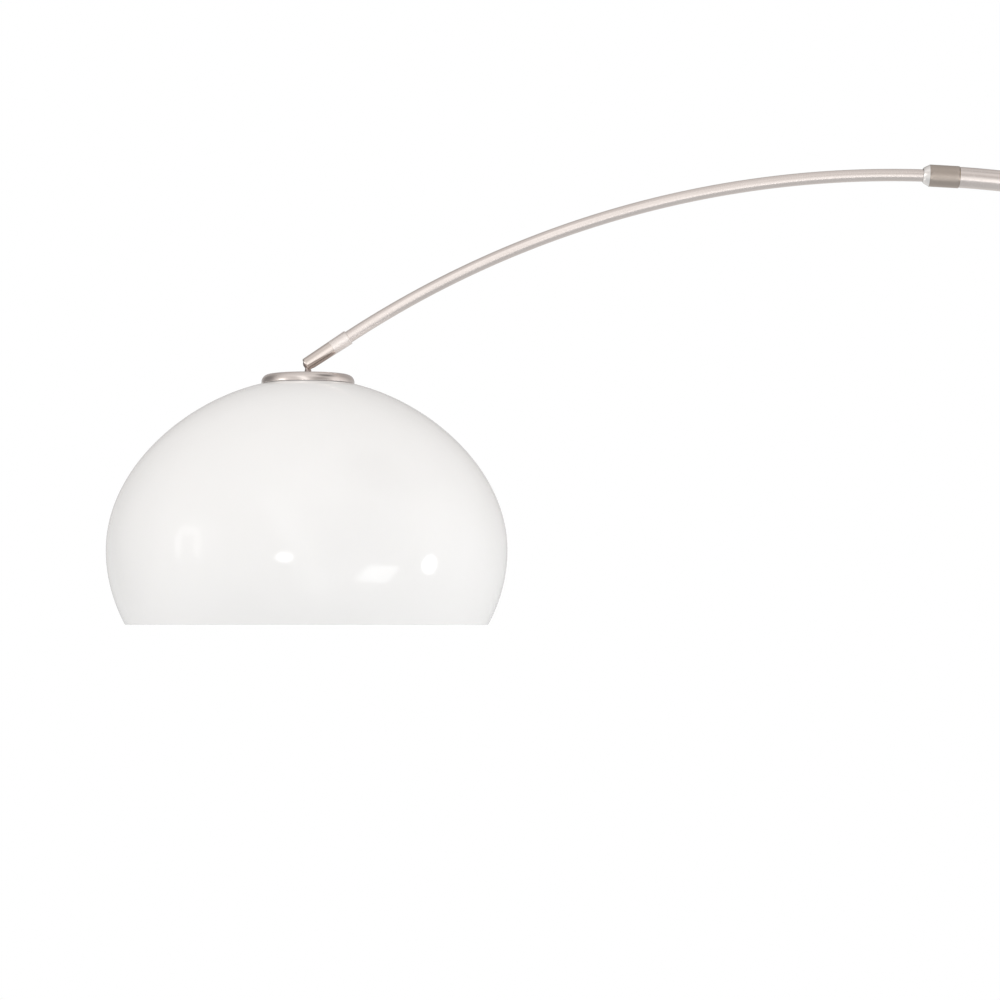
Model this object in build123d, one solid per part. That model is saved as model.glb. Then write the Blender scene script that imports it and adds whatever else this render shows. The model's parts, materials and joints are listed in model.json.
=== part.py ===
"""Arc floor lamp: a round marble base, a two-piece stem, a two-piece arc tube that turns in the stem,
a thinner arm that telescopes out of the arc along the same curve, and a domed shade on a ball swivel.

Frame: millimetres, +Z up. The origin is on the floor at the stem's axis. The lamp reaches out to -X,
and its whole arc lies in the XZ plane.
"""

from build123d import *
import math
import os

os.makedirs("parts", exist_ok=True)

# ---- driving dimensions -------------------------------------------------------------------------
ARC_R = 1045.0  # centreline radius of the arc tube and of the arm
ARC_CENTRE_Z = 1080.0  # height of the arc's centre, where the tube stands vertical
ARC_TUBE_R, ARC_BORE_R = 11.0, 9.5
ARM_TUBE_R, ARM_BORE_R = 6.5, 5.5
STEM_R, STEM_BORE_R = 14.0, 12.5
BASE_R, BASE_THICK = 210.0, 65.0
SHADE_R = 210.0  # outer radius of the dome at its widest
SHADE_WALL = 3.0
FLEX_R = 2.0  # round two-core lamp flex inside the tubes

RUN = 0.1  # radial clearance of a turning or sliding fit between small turned parts
SLIDE = 0.3  # clearance between curved pieces that slide along the arc
THIN_GAP = 0.15  # axial gap between faces that turn against each other

# ---- places along the arc, in degrees from the stem (0) over the top (90) to the shade ------------
JOINER_DEG, JOINER_HALF_DEG = 43.0, 1.5
ARC_END_DEG = 86.15  # end of the arc tube, at the telescope fitting
SPIGOT_END_DEG = 84.65  # inner end of the fitting's spigot, which the guide ring stops against
RING_DEG = (83.75, 84.45)  # guide ring on the arm's inner end
ARM_IN_DEG, ARM_OUT_DEG = 83.55, 123.33
ARC_FLEX_END_DEG, ARM_FLEX_END_DEG = 42.0, 40.0
FLEX_OFFSET = 2.6  # the two runs of flex pass side by side in the arc tube

# ---- heights in the foot and the stem -------------------------------------------------------------
PAD_R, PAD_THICK = 200.0, 3.0
BASE_TOP = PAD_THICK + BASE_THICK
POCKET_R, POCKET_DEPTH = 30.0, 22.0
ROD_R, ROD_HOLE_R = 5.0, 5.5
HUB_FLANGE_R, HUB_FLANGE_THICK = 28.0, 10.0
HUB_R, HUB_TOP = 18.0, 106.0
HUB_FLOOR = BASE_TOP + HUB_FLANGE_THICK
COVER_R, COVER_HEIGHT, COVER_WALL = 60.0, 30.0, 2.0
COVER_TOP = BASE_TOP + COVER_HEIGHT
WIRE_HOLE_R, WIRE_Z = 3.2, 88.0
STEM_SPLIT, STEM_RING = 556.0, 4.0
STEM_TOP = 1040.0
SEAT_TOP = 858.0
ARC_FOOT = SEAT_TOP + SLIDE  # lower end of the arc tube, inside the stem
COLLAR_R, COLLAR_BOTTOM, COLLAR_TOP = 17.5, 1022.0, 1064.0
THUMB_Z, THUMB_R = 1053.0, 3.0
SWITCH_Y, SWITCH_BODY_R, BUTTON_R, BUTTON_PROUD = -39.0, 11.0, 8.0, 5.0
GLAND_Z, GLAND_BORE_R = 83.0, 3.6

# ---- telescope nut and fitting, along the arc's tangent, from the arc tube's end -------------------
NUT_R, NUT_BARREL, NUT_NOSE = 11.65, 31.5, 6.5
THREAD_R, THREAD_END = 9.6, 18.0
SPIGOT_WALL = 1.2
COLLET_R, COLLET_BORE_R = 9.0, 7.0

# ---- swivel: a ball in a slotted socket at the arm's end -------------------------------------------
BALL_R, SEAT_CLEAR = 5.4, 0.06
SOCKET_LEN, FERRULE_LEN = 34.0, 20.0
SOCKET_LIP = 3.2  # from the ball's centre to the socket's end face
SOCKET_END_R, SOCKET_JOINT_R, FERRULE_END_R = 7.1, 7.6, 7.9
LIP_HOLE_R, SLOT_HALF = 4.5, 3.65
NECK_R, STUD_R, STUD_BORE_R = 3.2, 4.9, 1.8
SPIGOT_R, SPIGOT_LEN = 4.9, 14.0

# ---- shade, measured down from the ball's centre ---------------------------------------------------
CAP_DROP = 9.9  # top of the cap
CAP_R, CAP_CROWN, CAP_ROUND, CAP_WALL = 48.9, 2.6, 8.0, 1.5
DOME_DROP = 15.9  # top of the dome's outer surface, before its hole
DOME_UPPER, DOME_LOWER = 180.6, 195.3  # vertical half axes above and below the widest ring
DOME_PINCH = 0.085  # how much slimmer than an ellipse the dome is towards its top
RIM_BELOW = 78.2  # rim, below the widest ring
DOME_HOLE_R = 5.6
WASHER_R = 22.0
PLATE_R, PLATE_THICK = 28.0, 1.5
HOLDER_R = 19.5


# ---- helpers -----------------------------------------------------------------------------------------
def save(shape, name):
    export_step(shape, f"parts/{name}.step")


def rad(angle):
    return math.radians(angle)


ARC_AXIS = Axis((-ARC_R, 0, ARC_CENTRE_Z), (0, -1, 0))


def on_arc(deg, offset=0.0):
    """Point on the arc's centreline, or offset mm outside it."""
    r = ARC_R + offset
    return Vector(-ARC_R + r * math.cos(rad(deg)), 0, ARC_CENTRE_Z + r * math.sin(rad(deg)))


def along_arc(deg):
    """Direction along the arc, towards the shade."""
    return Vector(-math.sin(rad(deg)), 0, math.cos(rad(deg)))


def bent_rod(radius, start, end, offset=0.0):
    """Solid round rod along the arc, from one angle to another."""
    plane = Plane(origin=on_arc(start, offset), x_dir=(0, 1, 0), z_dir=along_arc(start))
    return revolve(plane * Circle(radius), axis=ARC_AXIS, revolution_arc=end - start)


def bent_tube(outer, inner, start, end):
    plane = Plane(origin=on_arc(start), x_dir=(0, 1, 0), z_dir=along_arc(start))
    ring = plane * (Circle(outer) - Circle(inner))
    return revolve(ring, axis=ARC_AXIS, revolution_arc=end - start)


def tube(outer, inner, low, high):
    """Vertical tube on the stem's axis."""
    return Pos(0, 0, low) * extrude(Circle(outer) - Circle(inner), amount=high - low)


def rod(radius, low, high):
    return Pos(0, 0, low) * extrude(Circle(radius), amount=high - low)


def turned(outline):
    """Solid of revolution about Z from (radius, height) points, in order."""
    return revolve(make_face(Plane.XZ * Polyline(*outline, close=True)), axis=Axis.Z)


def hexagon(across_flats, low, high):
    shape = RegularPolygon(across_flats / 2, 6, major_radius=False)
    return Pos(0, 0, low) * extrude(shape, amount=high - low)


def grub_screw(radius, length):
    """Headless screw along +X from the origin, with a hexagon socket in its outer end."""
    socket = Pos(0, 0, length * 0.55) * extrude(
        RegularPolygon(radius * 0.5, 6, major_radius=False), amount=length * 0.5
    )
    return Rot(0, 90, 0) * (rod(radius, 0, length) - socket)


# ---- base and foot -----------------------------------------------------------------------------------
def marble_base():
    slab = rod(BASE_R, PAD_THICK, BASE_TOP)
    edges = slab.edges().filter_by(GeomType.CIRCLE).sort_by(Axis.Z)
    slab = fillet(edges[-1], 5.0)
    slab = chamfer(slab.edges().filter_by(GeomType.CIRCLE).sort_by(Axis.Z)[0], 2.0)
    slab -= rod(POCKET_R, PAD_THICK, PAD_THICK + POCKET_DEPTH)
    return slab - rod(ROD_HOLE_R, PAD_THICK, BASE_TOP)


def floor_pad():
    """Pad glued under the base; it covers the tie rod's pocket too."""
    return rod(PAD_R, 0, PAD_THICK)


NUT_THICK, WASHER_STEEL = 8.0, 2.5
POCKET_TOP = PAD_THICK + POCKET_DEPTH


def tie_rod():
    return rod(ROD_R, POCKET_TOP - WASHER_STEEL - NUT_THICK - 3, HUB_FLOOR)


def tie_rod_washer():
    return tube(24.0, ROD_R, POCKET_TOP - WASHER_STEEL, POCKET_TOP)


def tie_rod_nut():
    top = POCKET_TOP - WASHER_STEEL
    return hexagon(17.0, top - NUT_THICK, top) - rod(ROD_R, top - NUT_THICK, top)


def hub_screw_hole():
    """Threaded hole for the hub's grub screw, on the side towards the shade."""
    return Pos(-HUB_R - 1, 0, WIRE_Z + 8) * Rot(0, 90, 0) * rod(2.5, 0, HUB_R + 1 - STEM_R)


def stem_hub():
    body = rod(HUB_FLANGE_R, BASE_TOP, HUB_FLOOR) + rod(HUB_R, HUB_FLOOR, HUB_TOP)
    body = chamfer(body.edges().filter_by(GeomType.CIRCLE).sort_by(Axis.Z)[-1], 1.5)
    body -= rod(STEM_R, HUB_FLOOR, HUB_TOP)
    body -= rod(ROD_R, BASE_TOP, HUB_FLOOR)
    body -= Pos(0, 0, WIRE_Z) * Rot(0, 90, 0) * rod(WIRE_HOLE_R, 0, HUB_R + 1)
    return body - hub_screw_hole()


def foot_cover():
    shell = rod(COVER_R, BASE_TOP, COVER_TOP)
    shell = fillet(shell.edges().filter_by(GeomType.CIRCLE).sort_by(Axis.Z)[-1], 8.0)
    inside = rod(COVER_R - COVER_WALL, BASE_TOP, COVER_TOP - COVER_WALL)
    inside = fillet(inside.edges().filter_by(GeomType.CIRCLE).sort_by(Axis.Z)[-1], 6.0)
    shell -= inside
    shell -= rod(HUB_R + RUN, BASE_TOP, COVER_TOP)
    shell -= Pos(0, SWITCH_Y, 0) * rod(BUTTON_R + 0.5, COVER_TOP - 5, COVER_TOP + 1)
    return shell - Pos(COVER_R - 8, 0, GLAND_Z) * Rot(0, 90, 0) * rod(GLAND_THREAD_R, 0, 12)


GLAND_THREAD_R, GLAND_HEAD_R, GLAND_LENGTH = 6.5, 9.0, 20.0


def cord_gland():
    """Nipple through the cover's wall, with a rounded head outside."""
    start = COVER_R - COVER_WALL - 7
    head = COVER_R + 0.05
    body = turned(
        [
            (GLAND_BORE_R, 0),
            (GLAND_THREAD_R, 0),
            (GLAND_THREAD_R, head - start),
            (GLAND_HEAD_R, head - start),
            (GLAND_HEAD_R, head - start + 5),
            (GLAND_HEAD_R - 3, GLAND_LENGTH),
            (GLAND_BORE_R, GLAND_LENGTH),
        ]
    )
    return Pos(start, 0, GLAND_Z) * Rot(0, 90, 0) * body


def gland_nut():
    ring = hexagon(17.0, 0, 4.0) - rod(GLAND_THREAD_R, 0, 4.0)
    return Pos(COVER_R - COVER_WALL - 5.5, 0, GLAND_Z) * Rot(0, 90, 0) * ring


def terminal_block():
    """Three-way screw terminal beside the stem, inside the cover."""
    block = Box(13, 26, 14)
    for i in (-1, 0, 1):
        block -= Pos(0, 8 * i, 0) * Rot(0, 90, 0) * Cylinder(FLEX_R + 0.15, 13)
        block -= Pos(0, 8 * i, 5) * Cylinder(1.8, 6)
    block = fillet(block.edges().filter_by(Axis.Y), 1.0)
    return Pos(HUB_FLANGE_R + 9, 0, WIRE_Z) * block


def foot_switch_body():
    """Push switch under the cover, with a well that the button's shank enters."""
    can = rod(SWITCH_BODY_R, BASE_TOP, COVER_TOP - COVER_WALL - 5)
    can -= rod(BUTTON_SHANK_R + RUN, BASE_TOP + 6, COVER_TOP)
    return Pos(0, SWITCH_Y, 0) * can


BUTTON_SHANK_R, BUTTON_TRAVEL = 5.0, 3.0


def foot_switch_button():
    top = COVER_TOP + BUTTON_PROUD
    head = rod(BUTTON_R, COVER_TOP - COVER_WALL - 1, top)
    head = fillet(head.edges().filter_by(GeomType.CIRCLE).sort_by(Axis.Z)[-1], 1.5)
    shank = rod(BUTTON_SHANK_R, BASE_TOP + 6 + BUTTON_TRAVEL + 1, COVER_TOP - COVER_WALL - 1)
    return Pos(0, SWITCH_Y, 0) * (head + shank)


# ---- stem ----------------------------------------------------------------------------------------------
def stem_tube_lower():
    body = tube(STEM_R, STEM_BORE_R, HUB_FLOOR, STEM_SPLIT)
    return body - Pos(0, 0, WIRE_Z) * Rot(0, 90, 0) * rod(WIRE_HOLE_R, 0, STEM_R + 1)


def stem_joiner():
    """Plug that joins the stem's halves, with a thin ring that shows between them."""
    middle = STEM_SPLIT + STEM_RING
    plug = tube(STEM_BORE_R, 9.0, STEM_SPLIT - 30, middle + 30)
    ring = rod(STEM_R + 0.6, STEM_SPLIT, middle)
    ring = chamfer(ring.edges().filter_by(GeomType.CIRCLE), 0.5)
    return plug + (ring - rod(9.0, STEM_SPLIT, middle))


def stem_tube_upper():
    return tube(STEM_R, STEM_BORE_R, STEM_SPLIT + STEM_RING, STEM_TOP)


def stem_lower_bush():
    return tube(STEM_BORE_R, ARC_TUBE_R + SLIDE, SEAT_TOP + 20, SEAT_TOP + 45)


def arc_seat():
    return tube(STEM_BORE_R, 6.0, SEAT_TOP - 10, SEAT_TOP)


def stem_top_collar():
    body = rod(COLLAR_R, COLLAR_BOTTOM, COLLAR_TOP)
    rims = body.edges().filter_by(GeomType.CIRCLE).sort_by(Axis.Z)
    body = fillet(rims[-1], 3.0)
    body = chamfer(body.edges().filter_by(GeomType.CIRCLE).sort_by(Axis.Z)[0], 1.0)
    body -= rod(STEM_R, COLLAR_BOTTOM, STEM_TOP)
    body -= rod(ARC_TUBE_R + SLIDE, STEM_TOP, COLLAR_TOP)
    return body - Pos(ARC_TUBE_R, 0, THUMB_Z) * Rot(0, 90, 0) * rod(THUMB_R + RUN, 0, COLLAR_R)


def stem_grub_screws():
    """The hub's grub screw."""
    length = HUB_R - STEM_R - 0.3
    return Pos(-STEM_R, 0, WIRE_Z + 8) * Rot(0, 0, 180) * grub_screw(2.5, length)


def thumb_screw_shank():
    tip = ARC_TUBE_R + 2 * SLIDE
    return Pos(tip, 0, THUMB_Z) * Rot(0, 90, 0) * rod(THUMB_R, 0, 26.0 - tip)


KNOB_R, KNOB_START, KNOB_END = 8.0, 19.5, 32.0


def thumb_screw_knob():
    """Knob on the shank's end: a narrow neck and a wide grip."""
    body = turned(
        [
            (0, KNOB_START),
            (5.0, KNOB_START),
            (5.0, KNOB_START + 3),
            (KNOB_R - 1, KNOB_START + 3),
            (KNOB_R, KNOB_START + 4),
            (KNOB_R, KNOB_END - 1),
            (KNOB_R - 1, KNOB_END),
            (0, KNOB_END),
        ]
    )
    body -= rod(THUMB_R, KNOB_START, 26.0)
    return Pos(0, 0, THUMB_Z) * Rot(0, 90, 0) * body


# ---- arc ------------------------------------------------------------------------------------------------
def arc_tube_lower():
    """Straight foot that turns in the stem, and the arc's first half."""
    foot = tube(ARC_TUBE_R, ARC_BORE_R, ARC_FOOT, ARC_CENTRE_Z)
    return foot + bent_tube(ARC_TUBE_R, ARC_BORE_R, 0, JOINER_DEG)


def arc_tube_upper():
    return bent_tube(ARC_TUBE_R, ARC_BORE_R, JOINER_DEG, ARC_END_DEG)


def arc_joiner():
    low, high = JOINER_DEG - JOINER_HALF_DEG, JOINER_DEG + JOINER_HALF_DEG
    return bent_tube(ARC_BORE_R, 6.5, low, high)


NUT_LEAN = 0.6  # turns the straight nut a little along the arc, so the curved arm clears its ends


def nut_frame():
    """Location at the arc tube's end, with +Z towards the shade."""
    axis = along_arc(ARC_END_DEG + NUT_LEAN)
    return Plane(origin=on_arc(ARC_END_DEG), x_dir=(0, 1, 0), z_dir=axis).location


def telescope_fitting():
    """Curved spigot pressed into the arc tube, and a threaded nose that the nut runs on."""
    root = ARC_END_DEG + 0.1
    spigot = bent_tube(ARC_BORE_R, ARC_BORE_R - SPIGOT_WALL, SPIGOT_END_DEG, root)
    return spigot + nut_frame() * tube(THREAD_R, THREAD_R - 1.0, 0.2, THREAD_END)


def telescope_bush():
    """Nylon liner that the arm slides in, along the spigot."""
    outer = ARC_BORE_R - SPIGOT_WALL
    return bent_tube(outer, ARM_TUBE_R + SLIDE, SPIGOT_END_DEG, ARC_END_DEG)


def telescope_collet():
    """Split nylon cone that the nut squeezes onto the arm."""
    low, high = 18.6, 32.0
    body = turned(
        [
            (COLLET_BORE_R, low),
            (COLLET_R, low),
            (COLLET_R, low + 7),
            (COLLET_BORE_R + 0.8, high),
            (COLLET_BORE_R, high),
        ]
    )
    for i in range(3):
        body -= Rot(0, 0, 60 * i) * Pos(0, 0, low + 8.5) * Box(30, 0.8, 11)
    return nut_frame() * body


def telescope_nut():
    """Barrel with a rounded nose, which turns on the fitting's thread."""
    start = SLIDE
    shoulder = start + NUT_BARREL
    end = shoulder + NUT_NOSE
    bore, lip = ARM_TUBE_R + 0.6, ARM_TUBE_R + 0.9
    nose = ThreePointArc(
        (NUT_R - 0.2, shoulder), (lip + 0.62 * (NUT_R - lip), shoulder + 0.6 * NUT_NOSE), (lip, end)
    )
    barrel = Polyline(
        (THREAD_R + RUN, start),
        (NUT_R - 0.4, start),
        (NUT_R, start + 0.4),
        (NUT_R, shoulder - 0.2),
        (NUT_R - 0.2, shoulder),
    )
    inside = Polyline(
        (lip, end),
        (bore, end),
        (bore, 34.5),
        (COLLET_R + 0.5, 27.0),
        (THREAD_R + RUN, 26.0),
        (THREAD_R + RUN, start),
    )
    outline = make_face(Wire([*barrel.edges(), nose, *inside.edges()]))
    return nut_frame() * revolve(Plane.XZ * outline, axis=Axis.Z)


# ---- arm ------------------------------------------------------------------------------------------------
SLEEVE_AXIS = along_arc(ARM_OUT_DEG)
SLEEVE_LEN = SOCKET_LEN + FERRULE_LEN
BALL = on_arc(ARM_OUT_DEG) + SLEEVE_AXIS * (SLEEVE_LEN - SOCKET_LIP)
SLEEVE = Plane(origin=BALL, x_dir=(0, 1, 0), z_dir=SLEEVE_AXIS).location
SOCKET_BACK = SOCKET_LIP - SOCKET_LEN  # joint face between socket and ferrule, from the ball
FERRULE_BACK = SOCKET_LIP - SLEEVE_LEN
TUBE_IN_FERRULE = 14.0


def arm_tube():
    """Curved tube with a short straight end inside the ferrule."""
    end = Plane(origin=on_arc(ARM_OUT_DEG), x_dir=(0, 1, 0), z_dir=SLEEVE_AXIS)
    straight = extrude(end * (Circle(ARM_TUBE_R) - Circle(ARM_BORE_R)), amount=TUBE_IN_FERRULE)
    return bent_tube(ARM_TUBE_R, ARM_BORE_R, ARM_IN_DEG, ARM_OUT_DEG) + straight


def arm_guide_ring():
    return bent_tube(ARC_BORE_R - SLIDE, ARM_TUBE_R, *RING_DEG)


def arm_ferrule():
    """Collar on the arm's end, with the spigot that the socket turns on."""
    floor = FERRULE_BACK + TUBE_IN_FERRULE
    body = turned(
        [
            (ARM_TUBE_R, FERRULE_BACK),
            (FERRULE_END_R - 0.5, FERRULE_BACK),
            (FERRULE_END_R, FERRULE_BACK + 0.5),
            (SOCKET_JOINT_R, SOCKET_BACK),
            (SPIGOT_R, SOCKET_BACK),
            (SPIGOT_R, SOCKET_BACK + SPIGOT_LEN),
            (3.0, SOCKET_BACK + SPIGOT_LEN),
            (3.0, floor + 2),
            (4.8, floor),
            (ARM_TUBE_R, floor),
        ]
    )
    body = Rot(0, 0, 90) * body  # the surface's seam keeps clear of the screw
    return SLEEVE * (body - ferrule_screw_hole())


FERRULE_SCREW_AT = FERRULE_BACK + 7.0


def ferrule_screw_hole():
    return Pos(ARM_TUBE_R, 0, FERRULE_SCREW_AT) * Rot(0, 90, 0) * rod(1.5, 0, 4)


def ferrule_grub_screw():
    length = 1.2
    screw = Pos(ARM_TUBE_R, 0, FERRULE_SCREW_AT) * grub_screw(1.5, length)
    return SLEEVE * screw


# ---- swivel ---------------------------------------------------------------------------------------------
def swivel_socket():
    """Tapered barrel with a ball seat in its end, and a slot on its underside for the ball's neck."""
    seat_r = BALL_R + SEAT_CLEAR
    outer = turned(
        [
            (0, SOCKET_BACK + THIN_GAP),
            (SOCKET_JOINT_R, SOCKET_BACK + THIN_GAP),
            (SOCKET_END_R, SOCKET_LIP - 1.6),
            (SOCKET_END_R - 0.5, SOCKET_LIP - 0.5),
            (SOCKET_END_R - 1.6, SOCKET_LIP),
            (0, SOCKET_LIP),
        ]
    )
    bore = rod(seat_r, SOCKET_BACK + SPIGOT_LEN + THIN_GAP, 0)
    bearing = rod(SPIGOT_R + RUN, SOCKET_BACK, SOCKET_BACK + SPIGOT_LEN + 1)
    body = outer - Sphere(seat_r) - bore - bearing - rod(LIP_HOLE_R, 0, SOCKET_LIP)
    return SLEEVE * (body - neck_slot())


def neck_slot():
    """Cut for the neck, from the socket's end round to its underside, at right angles to its axis."""
    depth = SOCKET_END_R + 2
    side = Pos(depth / 2, 0, 0) * Rot(0, 90, 0) * Cylinder(SLOT_HALF, depth)
    front = Pos(depth / 2, 0, SOCKET_LIP / 2) * Box(depth, 2 * SLOT_HALF, SOCKET_LIP)
    return Rot(0, 0, SLOT_TURN) * (side + front)


SLOT_TURN = 90.0  # turns the slot to face down
PAD_BACK = -10.5  # back of the ball's pad, from the ball's centre


def ball_pad():
    """Nylon pad that presses on the ball from behind."""
    body = tube(BALL_R - 0.1, 2.2, PAD_BACK, -3.8) - Sphere(BALL_R + THIN_GAP)
    return SLEEVE * body


def disc_springs():
    """Stack of dished washers between the spigot and the pad."""
    low = SOCKET_BACK + SPIGOT_LEN + 2 * THIN_GAP
    count, thick, dish = 5, 0.6, 0.7
    pitch = (PAD_BACK - low - 0.2) / count
    stack = []
    for i in range(count):
        z = low + i * pitch
        inner, outer = (z, z + dish) if i % 2 else (z + dish, z)
        washer = turned([(2.4, inner), (5.0, outer), (5.0, outer + thick), (2.4, inner + thick)])
        stack.append(SLEEVE * washer)
    return Compound(children=stack)


STUD_BOTTOM = -46.0  # lower end of the stud, inside the lampholder's cap


def at_ball(shape):
    """Moves a shape that is drawn about the ball's centre to its place."""
    return Pos(*BALL) * shape


def swivel_ball():
    """Ball, neck, shoulder and the hollow threaded stud, in one piece."""
    stem = turned(
        [
            (0, 0),
            (NECK_R, 0),
            (NECK_R, -CAP_DROP + 1.2),
            (NECK_R + 1.2, -CAP_DROP + THIN_GAP),
            (STUD_R, -CAP_DROP + THIN_GAP),
            (STUD_R, STUD_BOTTOM),
            (0, STUD_BOTTOM),
        ]
    )
    return at_ball(Sphere(BALL_R) + stem - rod(STUD_BORE_R, STUD_BOTTOM, BALL_R))


# ---- shade and lampholder -----------------------------------------------------------------------------
DOME_MID = -DOME_DROP - DOME_UPPER  # height of the dome's widest ring, from the ball
RIM_Z = DOME_MID - RIM_BELOW


def dome_point(angle, inset):
    """Point of the dome's half outline: 0 is its widest ring and a right angle is its top."""
    height = DOME_UPPER if angle > 0 else DOME_LOWER
    radius = (SHADE_R - inset) * math.cos(angle) * (1 - DOME_PINCH * math.sin(angle) ** 2)
    return radius, DOME_MID + (height - inset) * math.sin(angle)


def dome_curve(inset):
    """Half outline from the rim to the top, inset from the dome's outer surface."""
    steps = 24
    low = -math.asin(RIM_BELOW / (DOME_LOWER - inset))
    points = [dome_point(low + (math.pi / 2 - low) * i / steps, inset) for i in range(steps)]
    return Spline(*points, (0, DOME_MID + DOME_UPPER - inset), tangents=[(0.36, 1), (-1, 0)])


def dome_sag(radius, inset=0.0):
    """How far the dome's surface is below its own top at that radius."""
    low, high = 0.0, math.pi / 2
    for _ in range(40):
        middle = (low + high) / 2
        if dome_point(middle, inset)[0] > radius:
            low = middle
        else:
            high = middle
    return (DOME_UPPER - inset) * (1 - math.sin(low))


def shade():
    """Blown acrylic dome with an even wall, a rounded rim and a hole for the stud."""
    outer, inner = dome_curve(0), dome_curve(SHADE_WALL)
    outline = Wire([outer, Line(outer @ 1, inner @ 1), inner, Line(inner @ 0, outer @ 0)])
    dome = revolve(Plane.XZ * make_face(outline), axis=Axis.Z)
    rim = dome.edges().filter_by(GeomType.CIRCLE).sort_by(Axis.Z)[:2]
    dome = fillet(rim, 1.3)
    return at_ball(dome - rod(DOME_HOLE_R, -DOME_DROP - 10, 0))


def shade_cap():
    """Shallow spun cap with a crowned top, which stands on the dome by its rim."""
    drop = dome_sag(CAP_R - CAP_WALL) + DOME_DROP
    bottom = -drop + 0.05
    shoulder = -CAP_DROP - CAP_CROWN
    body = cap_solid(CAP_R, -CAP_DROP, shoulder, bottom, CAP_ROUND)
    inner = cap_solid(
        CAP_R - CAP_WALL, -CAP_DROP - CAP_WALL, shoulder - CAP_WALL, bottom, CAP_ROUND - CAP_WALL
    )
    return at_ball(body - inner - rod(STUD_R + RUN, -DOME_DROP, 0))


def cap_solid(radius, top, shoulder, bottom, rounding):
    """Disc with a crowned top and a rounded upper edge."""
    crown = ThreePointArc((0, top), (radius / 2, top - (top - shoulder) / 4), (radius, shoulder))
    sides = Polyline((radius, shoulder), (radius, bottom), (0, bottom), (0, top))
    solid = revolve(Plane.XZ * make_face(Wire([crown, *sides.edges()])), axis=Axis.Z)
    upper = solid.edges().filter_by(lambda edge: edge.is_closed).sort_by(Axis.Z)[-1]
    return fillet(upper, rounding)


UNDER_DOME = -DOME_DROP - SHADE_WALL - 0.05
PLATE_TOP = UNDER_DOME - dome_sag(PLATE_R, SHADE_WALL) - 0.4
HOLDER_TOP = PLATE_TOP - PLATE_THICK - 5.6


def shade_washer():
    """Rubber washer between the dome and the clamp plate, dished to the dome."""
    inner_edge, steps = STUD_R + RUN, 6
    edge = [(inner_edge, PLATE_TOP), (WASHER_R, PLATE_TOP)]
    for i in range(steps + 1):
        radius = WASHER_R - (WASHER_R - inner_edge) * i / steps
        edge.append((radius, UNDER_DOME - 0.3 - dome_sag(radius, SHADE_WALL)))
    return at_ball(turned(edge))


def shade_clamp_plate():
    plate = rod(PLATE_R, PLATE_TOP - PLATE_THICK, PLATE_TOP)
    return at_ball(plate - rod(STUD_R + RUN, PLATE_TOP - PLATE_THICK, PLATE_TOP))


def stud_nut():
    low, high = PLATE_TOP - PLATE_THICK - 5.5, PLATE_TOP - PLATE_THICK
    return at_ball(hexagon(15.0, low, high) - rod(STUD_R + RUN, low, high))


CAP_HEIGHT, SKIRT_LENGTH, HOLDER_WALL = 22.0, 34.0, 2.0
SKIRT_TOP = HOLDER_TOP - CAP_HEIGHT
SKIRT_BOTTOM = SKIRT_TOP - SKIRT_LENGTH


def lampholder_cap():
    """Upper half of the lampholder, threaded on the stud."""
    shell = turned(
        [
            (STUD_R + RUN, HOLDER_TOP),
            (9.0, HOLDER_TOP),
            (9.0, HOLDER_TOP - 5),
            (14.0, HOLDER_TOP - 6.5),
            (HOLDER_R, HOLDER_TOP - 12),
            (HOLDER_R, SKIRT_TOP),
            (HOLDER_R - HOLDER_WALL, SKIRT_TOP),
            (HOLDER_R - HOLDER_WALL, HOLDER_TOP - 13),
            (13.0, HOLDER_TOP - 8.5),
            (STUD_R + RUN, HOLDER_TOP - 8.5),
        ]
    )
    return at_ball(shell)


def lampholder_skirt():
    """Lower half of the lampholder, with grip ribs."""
    shell = tube(HOLDER_R, HOLDER_R - HOLDER_WALL, SKIRT_BOTTOM, SKIRT_TOP - 0.1)
    lip = tube(HOLDER_R, SHELL_R + 0.6, SKIRT_BOTTOM, SKIRT_BOTTOM + 2)
    shell = shell + lip
    for i in range(24):
        groove = Pos(HOLDER_R + 0.5, 0, SKIRT_BOTTOM + 14) * Cylinder(1.0, 16)
        shell -= Rot(0, 0, 15 * i) * groove
    return at_ball(shell)


SHELL_R, SHELL_WALL = 13.9, 0.4
BULB_THREAD_R = 13.1
CORE_TOP = SKIRT_TOP + 4


def lampholder_core():
    """Porcelain body that holds the contacts, open downwards."""
    core = tube(HOLDER_R - HOLDER_WALL - 0.3, SHELL_R + 0.05, SKIRT_BOTTOM + 2.3, CORE_TOP - 8)
    top = tube(HOLDER_R - HOLDER_WALL - 0.3, 2.0, CORE_TOP - 8, CORE_TOP)
    return at_ball(core + top)


def lampholder_screw_shell():
    """Brass sleeve that the bulb screws into."""
    return at_ball(tube(SHELL_R, SHELL_R - SHELL_WALL, SKIRT_BOTTOM + 4, CORE_TOP - 8.1))


def lampholder_contact():
    """Sprung brass tongue under the core."""
    tongue = Pos(2, 0, CORE_TOP - 9.2) * Box(16, 5, 0.5)
    tip = Pos(0, 0, CORE_TOP - 10.4) * Box(5, 5, 2.2)
    return at_ball(tongue + tip)


BULB_TOP = CORE_TOP - 11.6
BULB_BASE_LEN, BULB_R, BULB_LEN = 25.0, 30.0, 108.0
GLASS_TOP = BULB_TOP - BULB_BASE_LEN


def bulb_contact():
    return at_ball(turned([(0, BULB_TOP), (4.0, BULB_TOP), (6.0, BULB_TOP - 3), (0, BULB_TOP - 3)]))


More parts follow.
